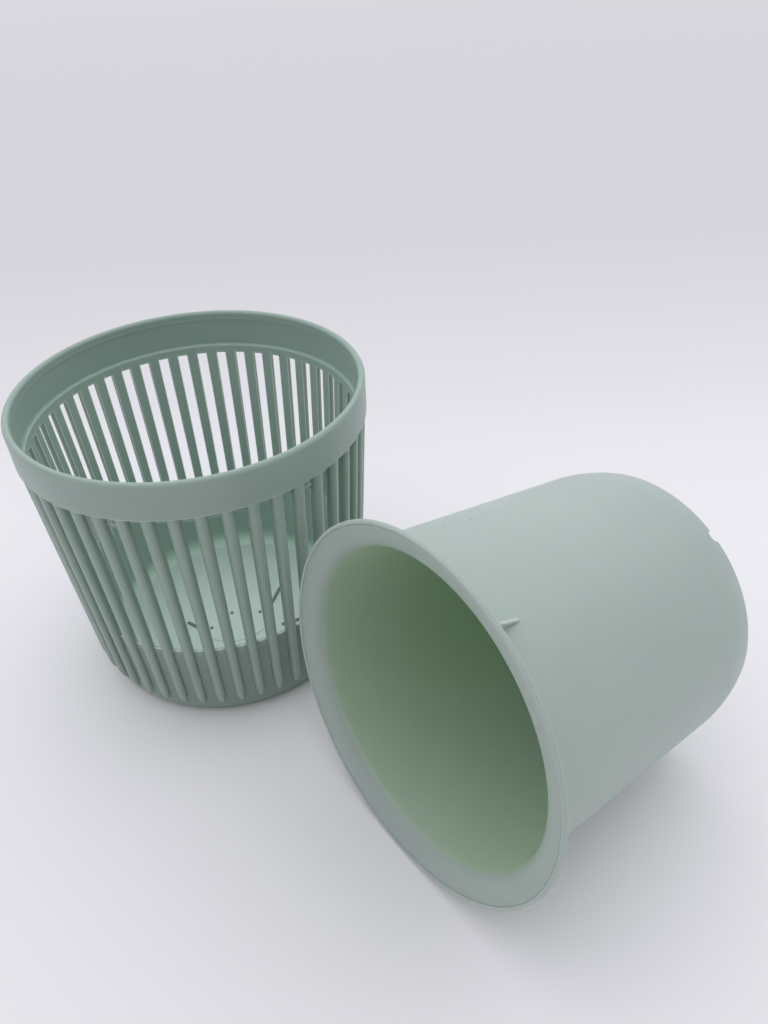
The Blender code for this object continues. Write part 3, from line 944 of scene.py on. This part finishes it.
def noise_node(tree, vector, scale, detail):
    """Noise texture on a vector; returns its factor."""
    node = tree.nodes.new("ShaderNodeTexNoise")
    return feed(tree, node, Vector=vector, Scale=scale, Detail=detail).outputs["Fac"]


def range_node(tree, value, low, high, to_low=0.0, to_high=1.0):
    """Map Range node, clamped and smooth; returns its output."""
    node = tree.nodes.new("ShaderNodeMapRange")
    node.interpolation_type = "SMOOTHSTEP"
    feed(tree, node, Value=value, From_Min=low, From_Max=high, To_Min=to_low, To_Max=to_high)
    return node.outputs["Result"]


def mix_colours(tree, share, first, second):
    """Mix node for two colours; each is a socket or a colour."""
    node = tree.nodes.new("ShaderNodeMix")
    node.data_type = "RGBA"
    return feed(tree, node, Factor=share, A=first, B=second).outputs["Result"]


print("node helpers ready")

# %% [markdown]
# Tone. Colour pigment never spreads quite evenly through a moulding, so the tone drifts a
# little over some centimetres. One noise with a large scale is enough.

# %% Group: drift of tone
DRIFT_SCALE = 22.0
DRIFT_SPREAD = (0.35, 0.65)


def tone_group():
    """Mixes two near tones of the plastic by a slow noise."""
    inputs = {"Vector": ORIGIN, "Light tone": MIDDLE_GREY, "Dark tone": MIDDLE_GREY}
    group, given, result = new_group("tone_drift", inputs, {"Color": 4})
    drift = noise_node(group, given["Vector"], DRIFT_SCALE, 2.0)
    share = range_node(group, drift, *DRIFT_SPREAD)
    mixed = mix_colours(group, share, given["Light tone"], given["Dark tone"])
    group.links.new(mixed, result["Color"])
    return group


TONE = tone_group()
print("group:", TONE.name)

# %% [markdown]
# Grain. The mould's steel is finely blasted, and the plastic copies it as a grain far smaller
# than a millimetre, over a faint waviness from shrinking. Both are heights for a Bump node.

# %% Group: grain of the mould
GRAIN_SCALE = 2600.0
WAVE_SCALE = 60.0


def grain_group():
    """Height of a fine grain over a faint waviness."""
    inputs = {"Vector": ORIGIN, "Grain": 0.3, "Waves": 0.7}
    group, given, result = new_group("mould_grain", inputs, {"Height": 1})
    fine = noise_node(group, given["Vector"], GRAIN_SCALE, 2.0)
    broad = noise_node(group, given["Vector"], WAVE_SCALE, 1.0)
    grain = math_node(group, "MULTIPLY", fine, given["Grain"])
    waves = math_node(group, "MULTIPLY", broad, given["Waves"])
    group.links.new(math_node(group, "ADD", grain, waves), result["Height"])
    return group


GRAIN = grain_group()
print("group:", GRAIN.name)

# %% [markdown]
# Handling. Pots that are stacked and unpacked pick up a few dark specks of dust and short
# pale rubs. Specks are the centres of scattered cells, kept only where a cell's own random
# value is high. Rubs are a stretched noise cut off near its top.

# %% Group: specks and rubs
SPECK_CELLS = 90.0
SPECKS_LEFT_OUT = 0.93
RUB_SCALE = 420.0
RUB_PATCHES = 30.0
RUB_STRETCH = (1.0, 0.35, 0.22)
RUB_TURN = (0.3, 0.5, 0.2)
RUB_STROKES_FROM = (0.70, 0.78)
RUB_PATCHES_FROM = (0.58, 0.68)


def handling_group():
    """Masks of small specks and of short rubs."""
    inputs = {"Vector": ORIGIN, "Speck size": 0.06}
    group, given, result = new_group("handling_marks", inputs, {"Specks": 1, "Rubs": 1})
    cells = group.nodes.new("ShaderNodeTexVoronoi")
    feed(group, cells, Vector=given["Vector"], Scale=SPECK_CELLS)
    pick = feed(group, group.nodes.new("ShaderNodeSeparateColor"), Color=cells.outputs["Color"])
    near = math_node(group, "LESS_THAN", cells.outputs["Distance"], given["Speck size"])
    rare = math_node(group, "GREATER_THAN", pick.outputs["Red"], SPECKS_LEFT_OUT)
    group.links.new(math_node(group, "MULTIPLY", near, rare), result["Specks"])
    stretch = group.nodes.new("ShaderNodeMapping")
    feed(group, stretch, Vector=given["Vector"], Scale=RUB_STRETCH, Rotation=RUB_TURN)
    strokes = noise_node(group, stretch.outputs["Vector"], RUB_SCALE, 1.0)
    patches = noise_node(group, given["Vector"], RUB_PATCHES, 1.0)
    thin = range_node(group, strokes, *RUB_STROKES_FROM)
    placed = range_node(group, patches, *RUB_PATCHES_FROM)
    group.links.new(math_node(group, "MULTIPLY", thin, placed), result["Rubs"])
    return group


HANDLING = handling_group()
print("group:", HANDLING.name)

# %% [markdown]
# Places. Both pots look a little different inside and outside. Their walls let light through,
# and what comes through has lost some blue, so inside a painted glow mixes in a warmer,
# stronger green. A photograph could be painted on, but then it would fit one view only. Here
# the group works from what was kept for each point: which way it faces tells inside from
# outside, its distance from the axis tells a rib's crest from the valley beside it, where less
# light comes and which gets painted shade, and its bend tells the thin edges, which get a
# painted highlight, from the grooves, which get painted shade.

# %% Group: places on a pot
def zone_group():
    """Masks of the places on a pot that look different from its plain outside.

    Inside is 1 on faces that look inward. Band falls from 1 to 0 between two places along the
    axis. Height tells how far a point stands out from the wall, from 0 to 1 over the ribs'
    relief, and is 1 on the rim band; where it is low, the finish paints shade. Edge and Groove
    are 1 on tight edges and in tight grooves, for a painted highlight and painted shade.
    """
    inputs = {"Wall radius": 0.07, "Wall slope": 0.07, "Band start": 0.0, "Band end": 0.01}
    outputs = dict.fromkeys(("Inside", "Band", "Height", "Edge highlight", "Groove shade"), 1)
    group, given, result = new_group("pot_zones", inputs, outputs)
    fields = {}
    for name in PLACE_FIELDS:
        node = group.nodes.new("ShaderNodeAttribute")
        node.attribute_name = name
        fields[name] = node.outputs["Fac"]
    rise = math_node(group, "MULTIPLY", fields["along"], given["Wall slope"])
    wall = math_node(group, "ADD", given["Wall radius"], rise)
    depth = math_node(group, "SUBTRACT", wall, fields["out"])
    past = math_node(group, "SUBTRACT", fields["along"], given["Band start"])
    span = math_node(group, "SUBTRACT", given["Band end"], given["Band start"])
    share = math_node(group, "DIVIDE", past, span)
    relief = range_node(group, depth, -WALL / 2, -WALL / 2 - RIB_RELIEF)
    on_band = range_node(group, fields["along"], SLOT_TOP, BAND_BOTTOM)
    masks = {
        "Inside": range_node(group, fields["inward"], *INWARD_SHARES),
        "Band": range_node(group, share, 0.0, 1.0, 1.0, 0.0),
        "Height": math_node(group, "MAXIMUM", relief, on_band),
        "Edge highlight": range_node(group, fields["corner"], *EDGE_HIGHLIGHT_BENDS),
        "Groove shade": range_node(group, fields["corner"], *GROOVE_SHADE_BENDS),
    }
    for name, mask in masks.items():
        group.links.new(mask, result[name])
    return group


ZONES = zone_group()
print("group:", ZONES.name)

# %% [markdown]
# The plastic itself. One function makes both finishes, because the real pots are moulded from
# the same material: the tones go from the plain outside over the inside to the marks, each
# mixed over the last by its mask; the marks are specks and rubs, painted shade in grooves and a
# painted highlight on thin edges. How deep light scatters differs, because the inner pot's
# wall stands in the open and glows.

# %% The plastic itself
SPECK_SIZE = 0.045
SPECK_DARKNESS = 0.45
RUB_LIFT = 1.12
RUB_FLOOR = 0.03
RUB_SHARE = 0.5
RUB_ROUGHNESS = 0.12
GLOSS_SCALE = 40.0
GLOSS_SPREAD = (0.3, 0.7)
ROUGHNESS_SPREAD = (0.38, 0.46)
GRAIN_SHARE = 0.25
WAVE_SHARE = 0.8
BUMP_STRENGTH = 0.12
BUMP_DEPTH = 0.2 * MM
PLASTIC_IOR = 1.49
# Painted highlight: a pale tone along thin edges, where a line of light runs.
EDGE_HIGHLIGHT_TONE = (0.80, 0.88, 0.86)


def placed_group(tree, group, **values):
    """Outputs of a group placed in a material, with its inputs fed."""
    node = tree.nodes.new("ShaderNodeGroup")
    node.node_tree = group
    return feed(tree, node, **values).outputs


def sage_plastic(name, tones, zone, scatter):
    """Satin sage plastic: tones of its places, settings of its masks, and how light scatters."""
    light, dark = tones["light"], tones["dark"]
    made = bpy.data.materials.new(name)
    made.use_nodes = True
    tree = made.node_tree
    shader = tree.nodes["Principled BSDF"]
    place = tree.nodes.new("ShaderNodeTexCoord").outputs["Object"]
    plain = placed_group(tree, TONE, Vector=place, Light_tone=light, Dark_tone=dark)["Color"]
    zones = placed_group(tree, ZONES, **zone)
    if "valley_shade" in tones:
        # Painted shade where the outside lies low, in the valleys between the ribs.
        outside = mix_colours(tree, zones["Height"], tones["valley_shade"], plain)
        # Painted light on the bowl's floor, over the inside's painted glow.
        within = mix_colours(tree, zones["Band"], tones["inside"], tones["bowl"])
        colour = mix_colours(tree, zones["Inside"], outside, within)
    else:
        # Inside faces take a painted glow; the lip and its flare take painted shade.
        wall = mix_colours(tree, zones["Inside"], plain, tones["inside"])
        colour = mix_colours(tree, zones["Band"], wall, tones["lip"])
    marks = placed_group(tree, HANDLING, Vector=place, Speck_size=SPECK_SIZE)
    speck_tone = tuple(channel * SPECK_DARKNESS for channel in dark)
    rub_tone = tuple(min(1.0, channel * RUB_LIFT + RUB_FLOOR) for channel in light)
    for share, over in (
        (marks["Specks"], speck_tone),
        (math_node(tree, "MULTIPLY", marks["Rubs"], RUB_SHARE), rub_tone),
        # Painted shade in tight grooves and all over the floor bars.
        (zones["Groove shade"], tones["groove"]),
        # Then a painted highlight on thin edges.
        (math_node(tree, "MULTIPLY", zones["Edge highlight"], tones["edge_highlight_share"]), EDGE_HIGHLIGHT_TONE),
    ):
        colour = mix_colours(tree, share, colour, over)
    gloss = noise_node(tree, place, GLOSS_SCALE, 2.0)
    rough = range_node(tree, gloss, *GLOSS_SPREAD, *ROUGHNESS_SPREAD)
    rub_rough = math_node(tree, "MULTIPLY", marks["Rubs"], RUB_ROUGHNESS)
    roughness = math_node(tree, "ADD", rough, rub_rough)
    grain = placed_group(tree, GRAIN, Vector=place, Grain=GRAIN_SHARE, Waves=WAVE_SHARE)
    bump = tree.nodes.new("ShaderNodeBump")
    feed(tree, bump, Strength=BUMP_STRENGTH, Distance=BUMP_DEPTH, Height=grain["Height"])
    feed(tree, shader, Base_Color=colour, Roughness=roughness, Normal=bump.outputs["Normal"])
    feed(tree, shader, IOR=PLASTIC_IOR, **scatter)
    return made


# %% [markdown]
# The tones. They are linear colours of the plastic at each kind of place, and several are
# painted light or shade: shade in the valleys and grooves, a glow inside, highlights on thin
# edges. The outer pot is the darker one; its closed bowl sees little light, so its floor gets a
# pale tone of painted light to look as it does through the slots. The thin lip of the lying
# pot gets painted shade that keeps it darker and bluer than its inside.

# %% Both finishes
OUTER_TONES = {
    "light": (0.352, 0.448, 0.396),
    "dark": (0.334, 0.430, 0.376),
    # Painted shade for the valleys between the ribs.
    "valley_shade": (0.250, 0.350, 0.280),
    # Painted glow of the light that comes through the walls and bounces inside.
    "inside": (0.350, 0.470, 0.405),
    # Painted light: a pale tone for the closed bowl's floor, which sees little light.
    "bowl": (0.640, 0.780, 0.700),
    # Painted shade for tight grooves and for the floor bars.
    "groove": (0.150, 0.230, 0.190),
    "edge_highlight_share": 0.9,
}
POT_TONES = {
    "light": (0.452, 0.540, 0.492),
    "dark": (0.440, 0.525, 0.478),
    # Painted glow: the yellow-green of light that comes through the thin wall.
    "inside": (0.465, 0.590, 0.455),
    # Painted shade: keeps the lip darker and bluer than the glowing inside.
    "lip": (0.395, 0.465, 0.435),
    # Painted shade for tight grooves.
    "groove": (0.250, 0.320, 0.280),
    "edge_highlight_share": 0.3,
}
OUTER_ZONE = {
    "Wall_radius": outer_wall(0.0) - WALL / 2,
    "Wall_slope": math.tan(DRAFT),
    "Band_start": FLOOR + DISC_RISE,
    "Band_end": CORNER_HEIGHT,
}
POT_ZONE = {"Band_start": FLARE_DEPTH, "Band_end": FLARE_END}
OUTER_SCATTER = {
    "Subsurface Weight": 0.5,
    "Subsurface Radius": (1.0, 1.1, 0.75),
    "Subsurface Scale": 2.0 * MM,
    "Specular IOR Level": 0.65,
}
POT_SCATTER = {
    "Subsurface Weight": 0.5,
    "Subsurface Radius": (1.0, 1.1, 0.6),
    "Subsurface Scale": 3.0 * MM,
}
for name, settings, pieces in (
    ("sage_outer_finish", (OUTER_TONES, OUTER_ZONE, OUTER_SCATTER), (outer_shell, bars)),
    ("sage_inner_finish", (POT_TONES, POT_ZONE, POT_SCATTER), (inner_shell, pot_fins)),
):
    finish = sage_plastic(name, *settings)
    for piece in pieces:
        piece.data.materials.clear()
        piece.data.materials.append(finish)
    print("finish:", finish.name)

# %% [markdown]
# The stage is one large pale floor, seen from above, so no backdrop is needed: even the top
# of the picture still looks down on it. Its tone changes slowly along the view, as painted
# light: almost white around the pots, a plain pale grey further back.

# %% Floor
FLOOR_SIZE = 12.0
FLOOR_NEAR = -0.3
FLOOR_FAR = 3.7
# Painted light: the tone is highest around the pots and lower further back.
FLOOR_LIGHT_TONES = (
    (-0.3, 0.90), (0.05, 0.90), (0.15, 0.865), (0.25, 0.80), (0.4, 0.745), (0.6, 0.70), (2.0, 0.71)
)
FLOOR_FAR_LIGHT_TONE = 0.735
FLOOR_ROUGHNESS = 0.9
FLOOR_SPECULAR = 0.2


def floor_finish():
    """Matte pale floor whose tone, painted light, depends on the distance along the view."""
    made = bpy.data.materials.new("pale_floor")
    made.use_nodes = True
    tree = made.node_tree
    shader = tree.nodes["Principled BSDF"]
    place = tree.nodes.new("ShaderNodeTexCoord").outputs["Object"]
    view = (math.cos(CAMERA_HEADING), math.sin(CAMERA_HEADING), 0.0)
    along = math_node(tree, "DOT_PRODUCT", place, view, "ShaderNodeVectorMath")
    share = range_node(tree, along, FLOOR_NEAR, FLOOR_FAR)
    share.node.interpolation_type = "LINEAR"
    ramp = tree.nodes.new("ShaderNodeValToRGB")
    stops = ramp.color_ramp.elements
    for distance, tone in FLOOR_LIGHT_TONES:
        position = (distance - FLOOR_NEAR) / (FLOOR_FAR - FLOOR_NEAR)
        stop = stops[0] if distance == FLOOR_NEAR else stops.new(position)
        stop.color = (tone, tone, tone, 1.0)
    stops[-1].color = (FLOOR_FAR_LIGHT_TONE, FLOOR_FAR_LIGHT_TONE, FLOOR_FAR_LIGHT_TONE, 1.0)
    feed(tree, shader, Base_Color=feed(tree, ramp, Fac=share).outputs["Color"])
    feed(tree, shader, Roughness=FLOOR_ROUGHNESS, Specular_IOR_Level=FLOOR_SPECULAR)
    return made


build = bmesh.new()
bmesh.ops.create_grid(build, x_segments=1, y_segments=1, size=FLOOR_SIZE / 2)
floor = mesh_object("stage_floor", build)
floor.data.materials.append(floor_finish())
floor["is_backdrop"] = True
print("floor", FLOOR_SIZE, "m across")

# %% [markdown]
# Light. The light is that of a bright soft ceiling: strongest from straight above, still good
# from behind the pots, and weak from low down on the camera's side, so that upright walls that
# face the camera stay darker than what faces up. A ring of lamps could be tuned to do this, but
# one world whose strength grows evenly with the direction's height does it with no hard shadow.
# What the camera, gloss and clear surfaces see past the floor is a plain pale tone.

# %% World
SKY_TINT = (1.01, 1.0, 1.07)
SKY_LEAST = 0.19
SKY_RISE = Vector((0.19, 0.33, 1.13))
BACKDROP_TONE = (0.66, 0.66, 0.70)


def ceiling_world():
    """World that is brightest overhead and darker low on the camera's side."""
    world = bpy.data.worlds.new("soft_ceiling")
    world.use_nodes = True
    tree = world.node_tree
    lit = tree.nodes["Background"]
    direction = tree.nodes.new("ShaderNodeTexCoord").outputs["Generated"]
    rise = math_node(tree, "DOT_PRODUCT", direction, SKY_RISE, "ShaderNodeVectorMath")
    level = math_node(tree, "ADD", rise, SKY_LEAST)
    feed(tree, lit, Strength=math_node(tree, "MAXIMUM", level, 0.0), Color=SKY_TINT)
    plain = feed(tree, tree.nodes.new("ShaderNodeBackground"), Color=BACKDROP_TONE)
    path = tree.nodes.new("ShaderNodeLightPath")
    seen = path.outputs["Is Camera Ray"]
    for ray in ("Is Glossy Ray", "Is Transmission Ray"):
        seen = math_node(tree, "MAXIMUM", seen, path.outputs[ray])
    choose = tree.nodes.new("ShaderNodeMixShader")
    for socket, value in zip(choose.inputs, (seen, lit.outputs[0], plain.outputs[0])):
        tree.links.new(value, socket)
    tree.links.new(choose.outputs["Shader"], tree.nodes["World Output"].inputs["Surface"])
    return world


bpy.context.scene.world = ceiling_world()
bpy.context.scene.view_settings.view_transform = "Standard"
print("world:", bpy.context.scene.world.name)

# %% [markdown]
# Last, every piece rides on the body it belongs to, and the two shells stand for the fixed
# frame's parts, so that the pots still come apart as they should. The sizes before and after
# are written down, to see that the finer pots stay inside the frame's box.

# %% Riding and sizes
for piece, body, node, slot in (
    (outer_shell, "outer", "outer_pot", "sage_outer"),
    (bars, "outer", None, "sage_outer"),
    (inner_shell, "inner", "inner_pot", "sage_inner"),
    (pot_fins, "inner", None, "sage_inner"),
):
    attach(piece, body)
    if node:
        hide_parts(node)
seen_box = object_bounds()
for label, box in (("fixed frame", cad_box), ("finer pots", seen_box)):
    print(label, [round(high - low, 4) for low, high in zip(*box)])
